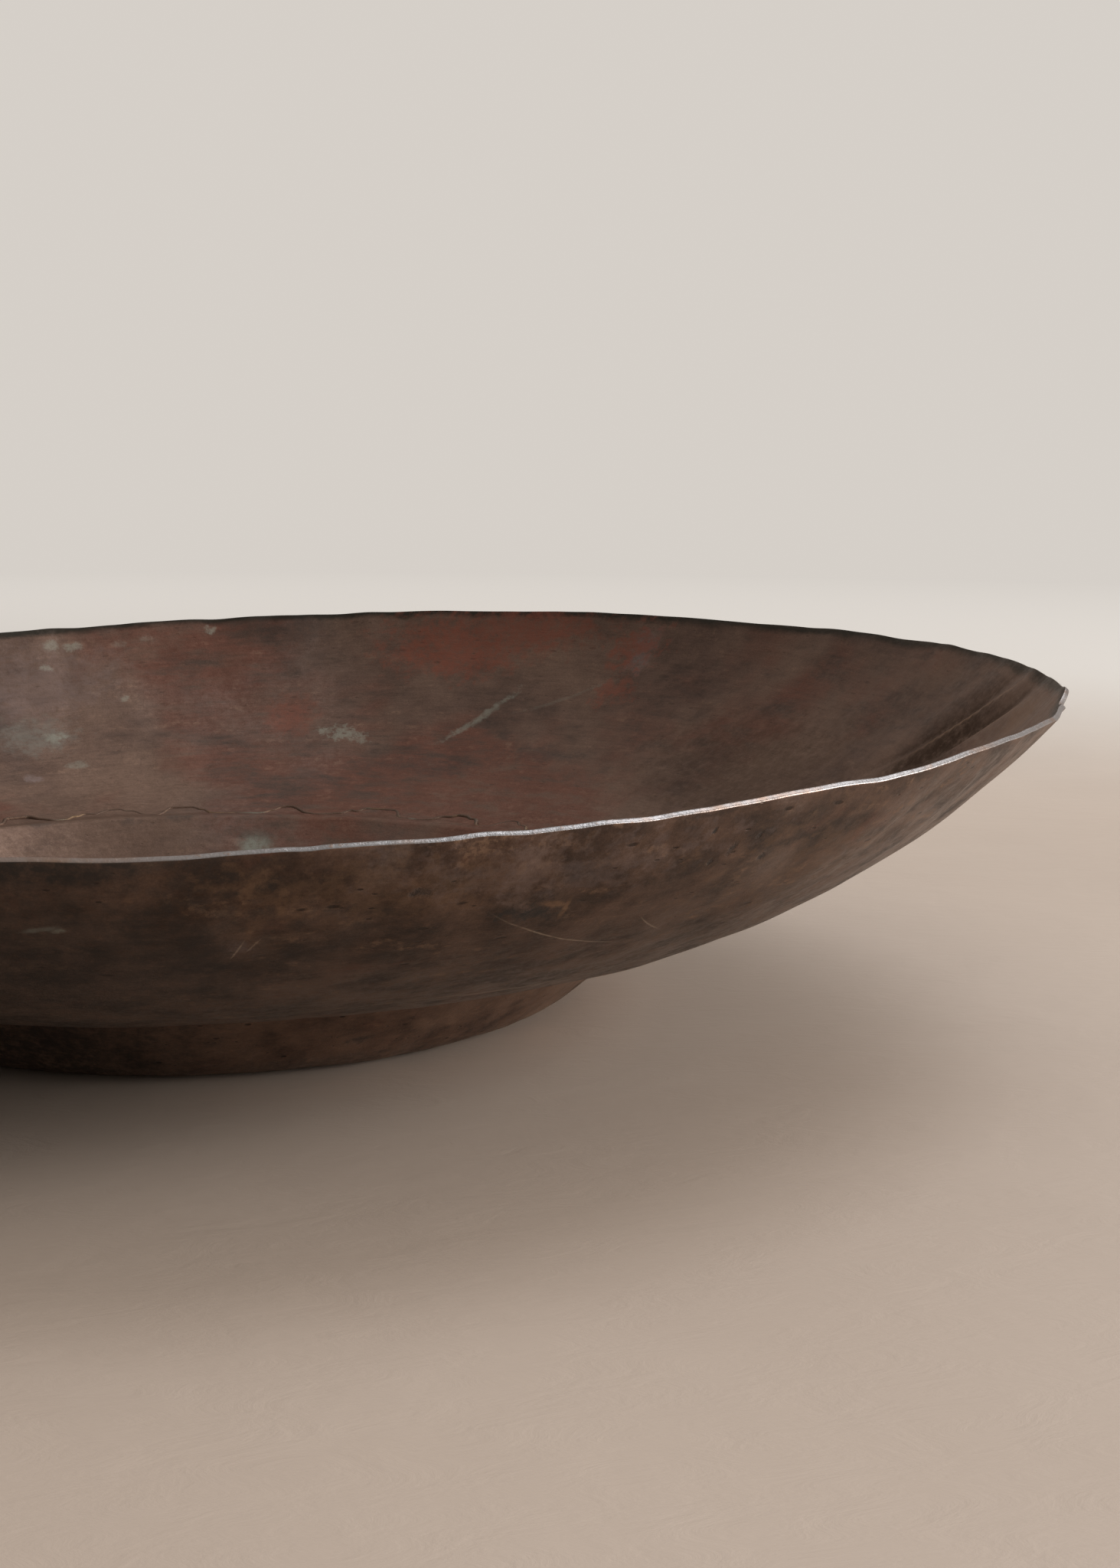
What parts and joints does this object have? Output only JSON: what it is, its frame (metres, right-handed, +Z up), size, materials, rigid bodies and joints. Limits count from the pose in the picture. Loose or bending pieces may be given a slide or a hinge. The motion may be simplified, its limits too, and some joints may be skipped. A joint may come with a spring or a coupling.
{
  "type": "hammered copper bowl",
  "caption": "Wide shallow sheet-copper bowl: a flaring wall with a plain cut rim, lapped and brazed over a flat-bottomed base pan.",
  "frame": {"origin": "centre of the pan's flat floor, on the surface the bowl stands on", "axes": "+Z up along the bowl's turning axis; +X towards the side where the rim stands highest"},
  "size_m": [0.5658, 0.5542, 0.108],
  "materials": {
    "wall_copper": "hammered copper sheet, dark brown patina with red, grey-green and worn bright places",
    "pan_copper": "hammered copper sheet, warm brown patina, soot-dark towards the floor",
    "braze": "dull brass hard solder, tarnished"
  },
  "bodies": {
    "root": {"bowl_wall": "wall_copper", "base_pan": "pan_copper", "seam_braze": "braze"}
  },
  "joints": []
}
